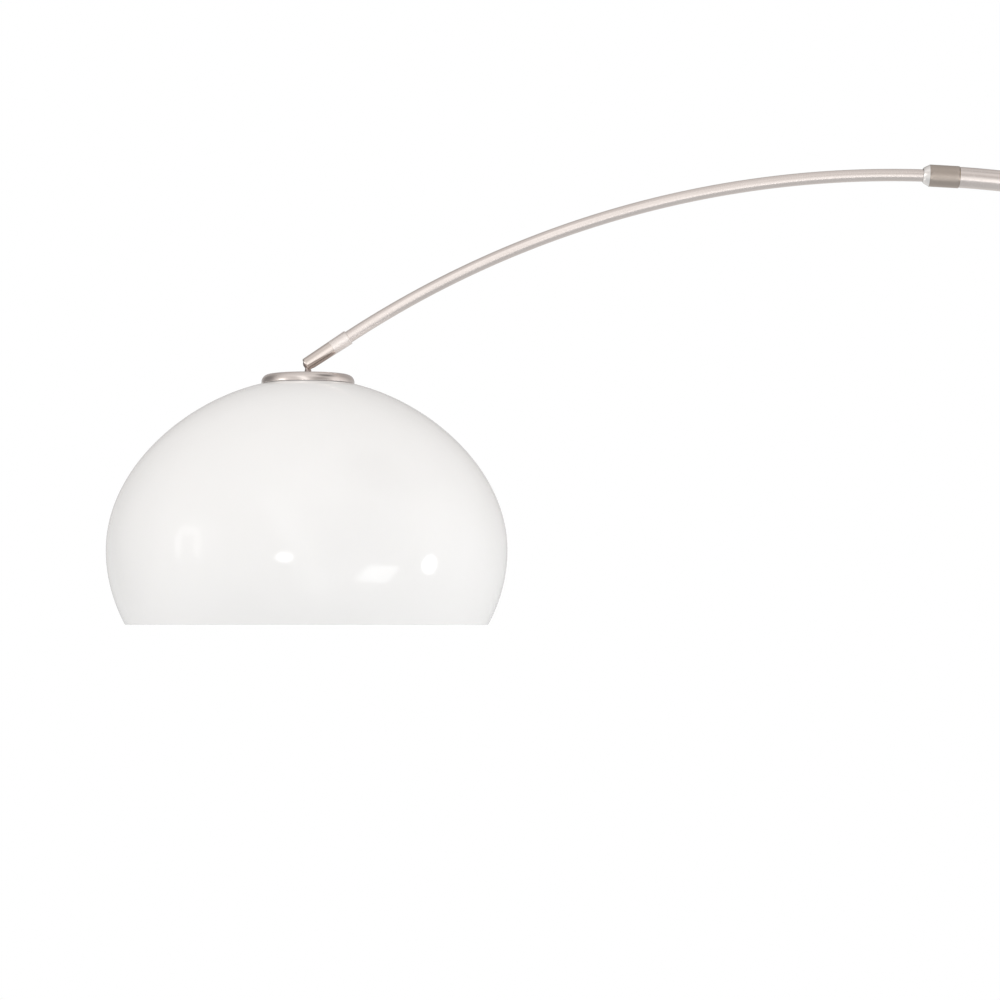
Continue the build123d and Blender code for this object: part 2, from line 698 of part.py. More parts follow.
def bulb_screw_base():
    """Screw base with five rounded threads."""
    turns, pitch, depth = 5, 3.6, 0.9
    top = BULB_TOP - 3.05
    edge = [(0, top), (10.0, top)]
    for i in range(turns):
        z = top - 1.5 - i * pitch
        edge += [(BULB_THREAD_R - depth, z), (BULB_THREAD_R, z - pitch / 2)]
    edge += [(BULB_THREAD_R - depth, GLASS_TOP + 1), (BULB_THREAD_R - depth, GLASS_TOP)]
    return at_ball(turned(edge + [(0, GLASS_TOP)]) - rod(11.2, GLASS_TOP, top - 1))


def bulb_outline(inset):
    """Solid pear shape, inset from the glass: a ball with a neck that flows into the screw base."""
    radius = BULB_R - inset
    centre = BULB_TOP - BULB_LEN + BULB_R
    neck_r = BULB_THREAD_R - 0.9 - inset
    touch = 35.0  # where the ball's outline leaves for the neck, in degrees above its middle
    leave = (radius * math.cos(rad(touch)), centre + radius * math.sin(rad(touch)))
    ball = CenterArc((0, centre), radius, -90, 90 + touch)
    slope = (-math.sin(rad(touch)), math.cos(rad(touch)))
    top = GLASS_TOP - 0.05
    neck = Spline(leave, (neck_r, top), tangents=[slope, (0, 1)])
    close = Polyline((neck_r, top), (0, top), (0, centre - radius))
    face = make_face(Wire([ball, neck, *close.edges()]))
    return revolve(Plane.XZ * face, axis=Axis.Z)


def bulb_glass():
    """Frosted glass, open at the neck, where the screw base closes it."""
    return at_ball(bulb_outline(0) - bulb_outline(1.0))


def lampholder_wires():
    """Two insulated cores from the stud down to the core's terminals."""
    wires = []
    for side in (-1, 1):
        wires.append(at_ball(Pos(0, 1.0 * side, 0) * rod(0.7, CORE_TOP + 0.3, STUD_BOTTOM + 12)))
    return Compound(children=wires)


# ---- flex inside the tubes ------------------------------------------------------------------------------
def stem_flex():
    """From the terminal block through the stem's side hole, and up to just under the arc's foot."""
    bend = 9.0
    route = FilletPolyline(
        (HUB_FLANGE_R + 2.4, 0, WIRE_Z),
        (FLEX_OFFSET, 0, WIRE_Z),
        (FLEX_OFFSET, 0, SEAT_TOP + 9),
        radius=bend,
    )
    return sweep(Plane(origin=route @ 0, z_dir=route % 0) * Circle(FLEX_R), path=route)


def arc_flex():
    """From the arc's foot to its middle, on the outer side of the bore."""
    foot = Pos(FLEX_OFFSET, 0, SEAT_TOP + 9.5) * extrude(
        Circle(FLEX_R), amount=ARC_CENTRE_Z - SEAT_TOP - 9.5
    )
    return foot + bent_rod(FLEX_R, 0, ARC_FLEX_END_DEG, FLEX_OFFSET)


def arm_flex():
    """From the arc's middle through the arm to its ferrule, on the inner side of the bore."""
    end = on_arc(ARM_OUT_DEG, -FLEX_OFFSET)
    last = extrude(
        Plane(origin=end, x_dir=(0, 1, 0), z_dir=SLEEVE_AXIS) * Circle(FLEX_R), amount=12.0
    )
    return bent_rod(FLEX_R, ARM_FLEX_END_DEG, ARM_OUT_DEG, -FLEX_OFFSET) + last


NODES = [
    floor_pad,
    marble_base,
    tie_rod,
    tie_rod_washer,
    tie_rod_nut,
    stem_hub,
    foot_cover,
    cord_gland,
    gland_nut,
    terminal_block,
    foot_switch_body,
    foot_switch_button,
    stem_tube_lower,
    stem_joiner,
    stem_tube_upper,
    stem_lower_bush,
    arc_seat,
    stem_top_collar,
    stem_grub_screws,
    stem_flex,
    thumb_screw_shank,
    thumb_screw_knob,
    arc_tube_lower,
    arc_joiner,
    arc_tube_upper,
    arc_flex,
    telescope_fitting,
    telescope_bush,
    telescope_collet,
    telescope_nut,
    arm_tube,
    arm_guide_ring,
    arm_flex,
    arm_ferrule,
    ferrule_grub_screw,
    swivel_socket,
    ball_pad,
    disc_springs,
    swivel_ball,
    shade_cap,
    shade,
    shade_washer,
    shade_clamp_plate,
    stud_nut,
    lampholder_cap,
    lampholder_skirt,
    lampholder_core,
    lampholder_screw_shell,
    lampholder_contact,
    lampholder_wires,
    bulb_contact,
    bulb_screw_base,
    bulb_glass,
]

for node in NODES:
    save(node(), node.__name__)

print("ball centre", BALL, "arc centre", (-ARC_R, ARC_CENTRE_Z), "rim", BALL.Z + RIM_Z)
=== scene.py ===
"""Arc floor lamp: camera, studio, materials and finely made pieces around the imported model."""

import json
import math

import bmesh
import bpy
from mathutils import Matrix, Vector


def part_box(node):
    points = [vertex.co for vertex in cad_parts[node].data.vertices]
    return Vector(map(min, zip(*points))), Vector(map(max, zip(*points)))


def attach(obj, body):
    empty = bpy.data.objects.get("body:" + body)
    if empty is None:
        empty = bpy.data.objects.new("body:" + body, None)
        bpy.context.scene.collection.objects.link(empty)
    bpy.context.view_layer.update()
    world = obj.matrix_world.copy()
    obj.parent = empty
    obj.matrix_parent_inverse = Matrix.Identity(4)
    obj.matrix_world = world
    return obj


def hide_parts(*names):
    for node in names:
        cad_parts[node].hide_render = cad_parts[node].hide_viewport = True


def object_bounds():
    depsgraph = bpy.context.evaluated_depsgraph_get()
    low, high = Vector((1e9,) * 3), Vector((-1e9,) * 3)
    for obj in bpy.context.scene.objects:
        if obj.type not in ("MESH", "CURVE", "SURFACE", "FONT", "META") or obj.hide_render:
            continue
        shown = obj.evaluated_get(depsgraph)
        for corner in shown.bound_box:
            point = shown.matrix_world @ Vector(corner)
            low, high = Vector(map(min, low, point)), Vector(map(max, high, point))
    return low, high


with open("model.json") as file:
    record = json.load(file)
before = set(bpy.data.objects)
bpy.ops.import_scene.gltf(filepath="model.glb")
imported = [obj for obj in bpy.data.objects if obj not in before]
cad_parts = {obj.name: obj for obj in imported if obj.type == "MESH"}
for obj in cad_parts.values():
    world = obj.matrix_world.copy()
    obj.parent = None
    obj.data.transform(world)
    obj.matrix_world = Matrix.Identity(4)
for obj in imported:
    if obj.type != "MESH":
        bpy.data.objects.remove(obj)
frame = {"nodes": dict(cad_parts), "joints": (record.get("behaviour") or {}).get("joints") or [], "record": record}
cad_low, cad_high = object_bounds()

MM = 0.001
joints = {j["name"]: j for j in frame["joints"]}

# ---- places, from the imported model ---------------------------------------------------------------
ARC_CENTRE = Vector(joints["arm_extend"]["pos_m"])
BALL = Vector(joints["shade_tilt"]["pos_m"])
SLEEVE_DIR = Vector(joints["socket_turn"]["axis"]).normalized()
NUT_DIR = Vector(joints["clamp_nut_turn"]["axis"]).normalized()
NUT_POS = Vector(joints["clamp_nut_turn"]["pos_m"])
ARC_R = -ARC_CENTRE.x
RIM_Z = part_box("shade")[0].z


def facing(origin, direction):
    """Placement with its Z axis along direction and its X axis across the arc's plane."""
    z = Vector(direction).normalized()
    x = Vector((0, 1, 0))
    y = z.cross(x)
    turn = Matrix((x, y, z)).transposed().to_4x4()
    return Matrix.Translation(origin) @ turn


# ---- node trees ----------------------------------------------------------------------------------
class Nodes:
    """A node tree, with short ways to add and join nodes."""

    def __init__(self, node_tree):
        self.nodes, self.links = node_tree.nodes, node_tree.links

    def put(self, value, socket):
        if isinstance(value, bpy.types.NodeSocket):
            self.links.new(value, socket)
        else:
            socket.default_value = value

    def add(self, kind, inputs=None, **settings):
        node = self.nodes.new(kind)
        for key, value in settings.items():
            setattr(node, key, value)
        for key, value in (inputs or {}).items():
            self.put(value, node.inputs[key])
        return node

    def math(self, operation, a, b=0.0, clamp=False):
        inputs = {0: a, 1: b}
        return self.add("ShaderNodeMath", inputs, operation=operation, use_clamp=clamp).outputs[0]

    def away(self, a, b):
        """Distance from an axis, from the two coordinates across it."""
        squares = self.math("MULTIPLY", a, a), self.math("MULTIPLY", b, b)
        return self.math("SQRT", self.math("ADD", *squares))

    def split(self, vector):
        return self.add("ShaderNodeSeparateXYZ", {0: vector}).outputs

    def join(self, x, y, z):
        return self.add("ShaderNodeCombineXYZ", {0: x, 1: y, 2: z}).outputs[0]

    def dot(self, a, b):
        node = self.add("ShaderNodeVectorMath", {0: a, 1: b}, operation="DOT_PRODUCT")
        return node.outputs["Value"]

    def ramp(self, value, stops):
        """Colour ramp from (position, grey or colour) stops."""
        node = self.add("ShaderNodeValToRGB", {"Fac": value})
        elements = node.color_ramp.elements
        while len(elements) < len(stops):
            elements.new(0.5)
        for element, (position, colour) in zip(elements, stops):
            element.position = position
            if isinstance(colour, (int, float)):
                colour = (colour, colour, colour)
            element.color = (*colour, 1)
        return node.outputs["Color"]

    def span(self, value, low, high, out_low=0.0, out_high=1.0, kind="LINEAR"):
        """A value's place between two limits, as a place between two others."""
        inputs = {0: value, 1: low, 2: high, 3: out_low, 4: out_high}
        return self.add("ShaderNodeMapRange", inputs, interpolation_type=kind).outputs[0]

    def mix(self, factor, a, b):
        """Colour between two, each a socket or a constant."""
        node = self.add("ShaderNodeMix", data_type="RGBA")
        self.put(factor, node.inputs["Factor"])
        for value, key in ((a, 6), (b, 7)):
            if isinstance(value, tuple) and len(value) == 3:
                value = (*value, 1)
            self.put(value, node.inputs[key])
        return node.outputs[2]


class Tree(Nodes):
    """A new material's node tree."""

    def __init__(self, name, **shader):
        self.material = bpy.data.materials.new(name)
        self.material.use_nodes = True
        super().__init__(self.material.node_tree)
        self.shader = self.nodes["Principled BSDF"]
        for key, value in shader.items():
            self.shader.inputs[key.replace("_", " ")].default_value = value
        self.object = self.add("ShaderNodeTexCoord").outputs["Object"]

    def scaled(self, factors):
        mapping = self.add("ShaderNodeMapping", {"Vector": self.object})
        mapping.inputs["Scale"].default_value = factors
        return mapping.outputs[0]

    def noise(self, scale, vector=None, detail=3.0, rough=0.5, distortion=0.0):
        inputs = {
            "Vector": vector or self.object,
            "Scale": scale,
            "Detail": detail,
            "Roughness": rough,
            "Distortion": distortion,
        }
        return self.add("ShaderNodeTexNoise", inputs).outputs["Fac"]

    def colour(self, value):
        self.put(value, self.shader.inputs["Base Color"])

    def rough(self, value):
        self.put(value, self.shader.inputs["Roughness"])

    def bump(self, height, strength, distance):
        inputs = {"Height": height, "Strength": strength, "Distance": distance}
        self.put(self.add("ShaderNodeBump", inputs).outputs[0], self.shader.inputs["Normal"])


def wrapped(tree, angle, along, scale_round):
    """Pattern coordinates from an angle round an axis and a place along it."""
    cos = tree.math("MULTIPLY", tree.math("COSINE", angle), scale_round)
    sin = tree.math("MULTIPLY", tree.math("SINE", angle), scale_round)
    return tree.join(cos, sin, along)


def turned_coords(tree, scale_along, scale_round, vector=None):
    """Coordinates that run along Z and round it, so a pattern follows a turned part."""
    x, y, z = tree.split(vector or tree.object)[:3]
    along = tree.math("MULTIPLY", tree.math("ADD", z, tree.away(x, y)), scale_along)
    return wrapped(tree, tree.math("ARCTAN2", y, x), along, scale_round)


def tube_coords(tree, scale_along, scale_round):
    """The same for a tube bent about the object's origin, in its XZ plane."""
    x, y, z = tree.split(tree.object)[:3]
    side = tree.math("ARCTAN2", y, tree.math("SUBTRACT", tree.away(x, z), ARC_R))
    along = tree.math("MULTIPLY", tree.math("ARCTAN2", z, x), scale_along * ARC_R)
    return wrapped(tree, side, along, scale_round)


# ---- materials -----------------------------------------------------------------------------------
NICKEL = (0.80, 0.735, 0.70)
# Painted shade and highlight: the socket's nickel is coloured darker for a band of shade and reflection on it, and
# the ferrule's lighter as a painted highlight.
SOCKET_SHADE_COLOUR, FERRULE_HIGHLIGHT_COLOUR = (0.74, 0.67, 0.625), (0.86, 0.80, 0.765)
# Painted shade: the neck's nickel is coloured dark for the shade it sits in between the sleeve and the cap.
NECK_SHADE_COLOUR = (0.40, 0.34, 0.32)
# Painted shade and highlight: the knurled grip is coloured dark for its shade, and the nose pale as a highlight.
NUT_GRIP_SHADE, NUT_NOSE_HIGHLIGHT = (0.50, 0.44, 0.39), (0.93, 0.91, 0.89)
# The nut's nose starts this far from its joint, in millimetres, and is polished, and painted brighter as a
# highlight, from there on.
NUT_SHOULDER = 31.8


def sleeve_coords(tree, scale_along, scale_round):
    """Turned coordinates about the arm's end axis, for pieces whose own origin is the lamp's."""
    mapping = tree.add("ShaderNodeMapping", {"Vector": tree.object}, vector_type="TEXTURE")
    mapping.inputs["Location"].default_value = BALL
    mapping.inputs["Rotation"].default_value = facing(BALL, SLEEVE_DIR).to_euler()
    return turned_coords(tree, scale_along, scale_round, mapping.outputs[0])


def nickel_parts(tree, coords, rough, colour, line):
    """Colour and roughness: fine turned lines, a slow drift of tone and soft handling marks."""
    lines = tree.noise(1.0, coords(tree, 5200, 1.5), detail=2.0)
    drift = tree.noise(14.0, detail=2.0)
    marks = tree.noise(55.0, detail=4.0, rough=0.65)
    tone = tree.span(drift, 0.3, 0.7)
    darker = tuple(c * 0.93 for c in colour)
    base = tree.span(lines, 0.3, 0.7, rough - 0.045, rough + 0.045)
    tree.bump(lines, line, 0.0002)
    gloss = tree.math("ADD", base, tree.span(marks, 0.45, 0.75, 0.0, 0.05), clamp=True)
    return tree.mix(tone, darker, colour), gloss


def nickel(name, coords, rough=0.26, colour=NICKEL, line=0.05):
    """Satin nickel."""
    tree = Tree(name, Metallic=1.0)
    colour, gloss = nickel_parts(tree, coords, rough, colour, line)
    tree.colour(colour)
    tree.rough(gloss)
    return tree.material


def make_nut_metal():
    """The barrel nut: a darker grip of painted shade for its knurl, and past the shoulder a smoother polished nose
    painted bright as a highlight.
    """
    tree = Tree("nickel_nut", Metallic=1.0)
    grip, gloss = nickel_parts(tree, turned_coords, 0.2, NUT_GRIP_SHADE, 0.02)
    height = tree.split(tree.object)[2]
    nose = tree.span(height, (NUT_SHOULDER - 0.15) * MM, (NUT_SHOULDER + 0.05) * MM)
    # Painted shade on the grip, painted highlight on the nose.
    tree.colour(tree.mix(nose, grip, NUT_NOSE_HIGHLIGHT))
    tree.rough(tree.math("MULTIPLY", gloss, tree.span(nose, 0, 1, 1.0, 0.4)))
    return tree.material


def plastic(name, colour, rough, grain=900.0, depth=0.00004):
    """Moulded plastic: a fine spark grain and a slight drift of gloss."""
    tree = Tree(name)
    fine = tree.noise(grain, detail=2.0)
    slow = tree.noise(30.0, detail=2.0)
    darker = tuple(c * 0.94 for c in colour)
    tree.colour(tree.mix(tree.span(slow, 0.3, 0.7), darker, colour))
    tree.rough(tree.span(slow, 0.3, 0.7, rough - 0.04, rough + 0.04))
    tree.bump(fine, 0.5, depth)
    return tree.material


def make_opal():
    """Glossy opal acrylic: deep white, slightly cloudy, with an almost flat polished skin."""
    radius = (0.004, 0.004, 0.0038)
    tree = Tree(
        "opal_acrylic",
        IOR=1.49,
        Subsurface_Weight=0.12,
        Subsurface_Radius=radius,
        Subsurface_Scale=1.0,
    )
    cloud = tree.noise(9.0, detail=3.0)
    tone = tree.span(cloud, 0.3, 0.7)
    tree.colour(tree.mix(tone, (0.885, 0.885, 0.878), (0.905, 0.905, 0.90)))
    fine = tree.noise(160.0, detail=3.0)
    tree.rough(tree.span(fine, 0.35, 0.75, 0.05, 0.085))
    tree.bump(tree.noise(6.0, detail=1.0), 0.12, 0.002)
    return tree.material


def make_marble():
    """Polished white marble: cloudy ground, a few long grey veins and a net of thin ones."""
    tree = Tree("marble", IOR=1.5)
    warp = tree.noise(3.2, detail=4.0)
    shift = tree.math("MULTIPLY", tree.math("SUBTRACT", warp, 0.5), 0.35)
    inputs = {0: tree.object, 1: tree.join(shift, tree.math("MULTIPLY", shift, -0.7), shift)}
    warped = tree.add("ShaderNodeVectorMath", inputs, operation="ADD").outputs[0]
    veins = tree.noise(5.0, warped, detail=5.0, rough=0.55)
    ridge = tree.math("ABSOLUTE", tree.math("SUBTRACT", veins, 0.5))
    bold = tree.ramp(ridge, [(0.0, 1.0), (0.012, 0.55), (0.05, 0.0)])
    net = tree.noise(17.0, warped, detail=4.0, rough=0.6)
    thin_ridge = tree.math("ABSOLUTE", tree.math("SUBTRACT", net, 0.5))
    thin = tree.ramp(thin_ridge, [(0.0, 0.5), (0.01, 0.2), (0.03, 0.0)])
    where = tree.ramp(tree.noise(2.6, detail=2.0), [(0.42, 0.0), (0.6, 1.0)])
    ground = tree.mix(tree.noise(4.0, detail=4.0), (0.80, 0.80, 0.79), (0.88, 0.88, 0.87))
    veined = tree.mix(bold, ground, (0.33, 0.34, 0.36))
    lightly = tree.mix(where, (0, 0, 0), thin)
    tree.colour(tree.mix(lightly, veined, (0.45, 0.46, 0.48)))
    tree.rough(tree.span(tree.noise(40.0, detail=3.0), 0.3, 0.7, 0.07, 0.13))
    tree.bump(tree.noise(60.0, detail=2.0), 0.05, 0.0005)
    return tree.material


def make_felt():
    """Dense grey felt: matted fibres."""
    tree = Tree("felt", Roughness=0.95, Sheen_Weight=0.3)
    stretched = tree.scaled((1, 1, 3))
    fibre = tree.noise(900.0, stretched, detail=5.0, rough=0.7, distortion=1.5)
    mat = tree.noise(120.0, detail=4.0)
    tone = tree.math("MULTIPLY", fibre, tree.math("ADD", mat, 0.5))
    tree.colour(tree.ramp(tone, [(0.25, 0.025), (0.75, 0.12)]))
    tree.bump(fibre, 0.8, 0.0006)
    return tree.material


def make_porcelain():
    """Cream glazed porcelain with faint darker specks."""
    tree = Tree("porcelain", IOR=1.52)
    speck = tree.noise(700.0, detail=2.0)
    tree.colour(tree.ramp(speck, [(0.2, (0.74, 0.71, 0.65)), (0.35, (0.84, 0.82, 0.77))]))
    tree.rough(tree.span(tree.noise(60.0), 0.3, 0.7, 0.1, 0.22))
    tree.bump(tree.noise(300.0), 0.1, 0.0002)
    return tree.material


def make_glass():
    """Frosted white bulb glass."""
    radius = (0.004, 0.004, 0.004)
    tree = Tree(
        "frosted_glass",
        IOR=1.5,
        Subsurface_Weight=0.3,
        Subsurface_Radius=radius,
        Subsurface_Scale=1.0,
    )
    frost = tree.noise(1500.0, detail=2.0)
    slow = tree.noise(25.0, detail=2.0)
    tree.colour(tree.mix(slow, (0.86, 0.86, 0.85), (0.92, 0.92, 0.91)))
    tree.rough(tree.span(frost, 0.3, 0.7, 0.32, 0.45))
    tree.bump(frost, 0.2, 0.0001)
    return tree.material


def metal(name, colour, rough, tarnish):
    """Plain machined metal with fine lines and faint tarnish."""
    tree = Tree(name, Metallic=1.0)
    lines = tree.noise(1.0, turned_coords(tree, 4200, 2.0), detail=2.0)
    spots = tree.noise(90.0, detail=4.0, rough=0.6)
    tree.colour(tree.mix(tree.ramp(spots, [(0.45, 0.0), (0.8, 1.0)]), colour, tarnish))
    tree.rough(tree.span(lines, 0.3, 0.7, rough - 0.05, rough + 0.08))
    tree.bump(lines, 0.15, 0.0002)
    return tree.material


MATERIALS = {
    "marble": make_marble(),
    "felt": make_felt(),
    "nickel": nickel("nickel", turned_coords),
    "nickel_stem": nickel("nickel_stem", turned_coords, rough=0.24),
    "nickel_turned": nickel("nickel_turned", turned_coords, rough=0.22),
    "nickel_tube": nickel("nickel_tube", tube_coords, rough=0.22, line=0.02),
    "nickel_arm": nickel("nickel_arm", tube_coords, rough=0.24, line=0.02),
    "nickel_nut": make_nut_metal(),
    # Socket and ferrule: their own roughness, and colours with painted shade and painted highlight.
    "nickel_socket": nickel("nickel_socket", sleeve_coords, 0.13, SOCKET_SHADE_COLOUR),
    "nickel_ferrule": nickel("nickel_ferrule", sleeve_coords, 0.28, FERRULE_HIGHLIGHT_COLOUR),
    "nickel_spun": nickel("nickel_spun", turned_coords, rough=0.2),
    # The neck's dark colour is painted shade.
    "nickel_neck": nickel("nickel_neck", turned_coords, 0.2, NECK_SHADE_COLOUR),
    "zinc_steel": metal("zinc_steel", (0.62, 0.64, 0.67), 0.3, (0.50, 0.50, 0.50)),
    "spring_steel": metal("spring_steel", (0.30, 0.31, 0.34), 0.35, (0.20, 0.17, 0.15)),
    "brass": metal("brass", (0.78, 0.60, 0.28), 0.3, (0.55, 0.38, 0.17)),
    "opal_acrylic": make_opal(),
    "porcelain": make_porcelain(),
    "frosted_glass": make_glass(),
    "nylon": plastic("nylon", (0.78, 0.76, 0.70), 0.45),
    "rubber": plastic("rubber", (0.03, 0.03, 0.032), 0.75, grain=500.0, depth=0.0001),
    "black_plastic": plastic("black_plastic", (0.022, 0.022, 0.024), 0.42),
    "white_plastic": plastic("white_plastic", (0.80, 0.80, 0.78), 0.35),
    "flex_pvc": plastic("flex_pvc", (0.78, 0.78, 0.76), 0.4, grain=300.0),
}
SLOTS = {s["node"]: s["material_slot"] for s in frame["record"]["subparts"]}


def paint(obj, name):
    obj.data.materials.clear()
    obj.data.materials.append(MATERIALS[name])


# The socket and ferrule get their own roughness and their painted shade and highlight colours.
SHADED_FINISHES = {"swivel_socket": "nickel_socket", "arm_ferrule": "nickel_ferrule"}
for node_name, node_object in frame["nodes"].items():
    paint(node_object, SHADED_FINISHES.get(node_name, SLOTS[node_name]))


# ---- shapes --------------------------------------------------------------------------------------
def softened(points, radius, closed=True, steps=4):
    """Rounds the corners of an outline. The radius is one number, or one for each corner."""
    radii = radius if isinstance(radius, (list, tuple)) else [radius] * len(points)
    points = [Vector(p) for p in points]
    result = []
    for i, here in enumerate(points):
        at_end = not closed and i in (0, len(points) - 1)
        back = points[i - 1] - here
        on = points[(i + 1) % len(points)] - here
        if at_end or radii[i] == 0:
            result.append(tuple(here))
            continue
        half = back.angle(on) / 2
        cut = min(radii[i] / math.tan(half), 0.45 * back.length, 0.45 * on.length)
        back_dir, on_dir = back.normalized(), on.normalized()
        centre = here + (back_dir + on_dir).normalized() * (cut / math.cos(half))
        first, last = here + back_dir * cut - centre, here + on_dir * cut - centre
        turn = math.atan2(first.cross(last), first.dot(last))
        start = math.atan2(first.y, first.x)
        if back.length > 6 * cut:
            result.append(tuple(here + back_dir * 1.6 * cut))
        for step in range(steps + 1):
            angle = start + turn * step / steps
            along, up = first.length * math.cos(angle), first.length * math.sin(angle)
            result.append((centre.x + along, centre.y + up))
        if on.length > 6 * cut:
            result.append(tuple(here + on_dir * 1.6 * cut))
    return result


def divided(outline, step):
    """Closed outline with no stretch longer than step."""
    result = []
    for i, point in enumerate(outline):
        here, after = Vector(point), Vector(outline[(i + 1) % len(outline)])
        count = max(1, math.ceil((after - here).length / step))
        result += [tuple(here.lerp(after, k / count)) for k in range(count)]
    return result


def dense(outline, step, where):
    """Open outline with extra points on the stretches whose two ends both pass a test."""
    result = []
    for here, after in zip(outline, outline[1:]):
        here, after = Vector(here), Vector(after)
        split = where(here) and where(after)
        count = max(1, math.ceil((after - here).length / step)) if split else 1
        result += [tuple(here.lerp(after, k / count)) for k in range(count)]
    return result + [tuple(outline[-1])]


def lathe(name, outline, segments, shape=None):
    """Turned mesh about Z from (radius, height) points in millimetres.

    The outline is a closed ring, or runs from the axis back to the axis.
    shape(radius, height, angle) may give another radius, for ribs, knurls and threads.
    """
    work = bmesh.new()
    rings = []
    for radius, height in outline:
        if radius == 0:
            rings.append([work.verts.new((0, 0, height * MM))])
            continue
        ring = []
        for i in range(segments):
            angle = 2 * math.pi * i / segments
            reach = (shape(radius, height, angle) if shape else radius) * MM
            point = (reach * math.cos(angle), reach * math.sin(angle), height * MM)
            ring.append(work.verts.new(point))
        rings.append(ring)
    pairs = list(zip(rings, rings[1:]))
    if len(rings[0]) > 1:
        pairs.append((rings[-1], rings[0]))
    for lower, upper in pairs:
        for i in range(segments):
            j = i + 1
            corners = [lower[i % len(lower)], lower[j % len(lower)], upper[j % len(upper)]]
            corners.append(upper[i % len(upper)])
            corners = list(dict.fromkeys(corners))
            if len(corners) > 2:
                work.faces.new(corners)
    bmesh.ops.recalc_face_normals(work, faces=work.faces)
    for face in work.faces:
        face.smooth = True
    mesh = bpy.data.meshes.new(name)
    work.to_mesh(mesh)
    work.free()
    mesh.set_sharp_from_angle(angle=math.radians(38))
    return mesh


def faded(height, low, high, run):
    """1 between two heights, falling to 0 towards each of them over a run."""
    return min(1.0, max(0.0, (height - low) / run), max(0.0, (high - height) / run))


def grooved(beyond, depth, wave, low, high, run):
    """Shape for lathe: grooves, deepest where wave(angle) is 1, past a radius."""

    def shape(reach, height, angle):
        if reach <= beyond:
            return reach
        return reach - depth * faded(height, low, high, run) * wave(angle)

    return shape


def along_arc(mesh, start_deg, straight_foot=False, end_deg=None):
    """Bends a turned mesh along the arc, about the arc's centre, which becomes its origin.

    A straight foot stays straight below the start. Past the end angle the rest runs on straight.
    """
    start = math.radians(start_deg)
    end = math.radians(end_deg) if end_deg is not None else math.inf
    for vertex in mesh.vertices:
        side, across, height = vertex.co
        angle = start + height / ARC_R
        over = 0.0
        if straight_foot and angle < start:
            angle, over = start, height
        elif angle > end:
            angle, over = end, (angle - end) * ARC_R
        reach = ARC_R + side
        vertex.co.x = reach * math.cos(angle) - over * math.sin(angle)
        vertex.co.y = across
        vertex.co.z = reach * math.sin(angle) + over * math.cos(angle)
    mesh.update()
    return mesh


def piece(mesh, body, material, *nodes, place=None):
    """Puts a finished mesh in the lamp: it rides on a body and stands for the named CAD nodes."""
    made = bpy.data.objects.new(mesh.name, mesh)
    bpy.context.scene.collection.objects.link(made)
    made.matrix_world = place or Matrix.Identity(4)
    mesh.materials.append(MATERIALS[material])
    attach(made, body)
    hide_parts(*nodes)
    return made


def heights(node, origin_z=0.0):
    """Lowest and highest point of a node, in millimetres from a height."""
    low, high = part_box(node)
    return (low.z - origin_z) / MM, (high.z - origin_z) / MM


AT_ARC = Matrix.Translation(ARC_CENTRE)
AT_BALL = Matrix.Translation(BALL)


# ---- base and foot -------------------------------------------------------------------------------
def make_base():
    """Stone slab with a rounded top edge and a pocket below for the tie rod's nut."""
    low, high = heights("marble_base")
    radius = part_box("marble_base")[1].x / MM
    pocket_r, pocket_top, hole_r = 30.0, heights("tie_rod_washer")[1], 5.5
    corners = [
        (hole_r, pocket_top),
        (pocket_r, pocket_top),
        (pocket_r, low),
        (radius, low),
        (radius, high),
        (hole_r, high),
    ]
    outline = softened(corners, [0.6, 0.6, 0.8, 2.5, 5.0, 0.8], steps=8)
    piece(lathe("marble_slab", outline, 256), "foot", "marble", "marble_base")


def make_pad():
    """Felt disc with a slightly ragged, rounded edge."""
    thick = heights("floor_pad")[1]
    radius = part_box("floor_pad")[1].x / MM
    fray = 0.5

    def ragged(reach, height, angle):
        wobble = math.sin(angle * 97) + math.sin(angle * 61 + 1.3)
        wobble += math.sin(angle * 143 + height)
        return reach - fray * (0.5 + wobble / 6) if reach > radius - 2 else reach

    corners = [(0, 0), (radius, 0), (radius, thick), (0, thick)]
    outline = softened(corners, 1.0, closed=False, steps=5)
    piece(lathe("felt_disc", outline, 512, ragged), "foot", "felt", "floor_pad")


def make_stem():
    """The stem's two tubes."""
    stem_r, bore_r = 14.0, 12.5
    for name, node in (("stem_lower", "stem_tube_lower"), ("stem_upper", "stem_tube_upper")):
        low, high = heights(node)
        corners = [(bore_r, low), (stem_r, low), (stem_r, high), (bore_r, high)]
        outline = divided(softened(corners, 0.25), 40)
        piece(lathe(name, outline, 96), "foot", "nickel_stem", node)


def make_button():
    """Push button with a dished top inside a raised ring."""
    low, high = heights("foot_switch_button")
    box_low, box_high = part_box("foot_switch_button")
    centre = (box_low + box_high) / 2
    button_r, shank_r = box_high.x / MM, 5.0
    skirt = heights("foot_cover")[1] - 3.0
    corners = [
        (0, low),
        (shank_r, low),
        (shank_r, skirt),
        (button_r, skirt),
        (button_r, high),
        (button_r - 1.6, high),
        (button_r - 2.2, high - 0.7),
        (3.0, high - 1.1),
        (0, high - 1.2),
    ]
    outline = softened(corners, [0, 0.4, 0.3, 0.4, 0.9, 0.4, 0.4, 1.0, 0], closed=False)
    mesh = lathe("button_cap", outline, 72)
    place = Matrix.Translation((centre.x, centre.y, 0))
    piece(mesh, "switch_button", "black_plastic", "foot_switch_button", place=place)


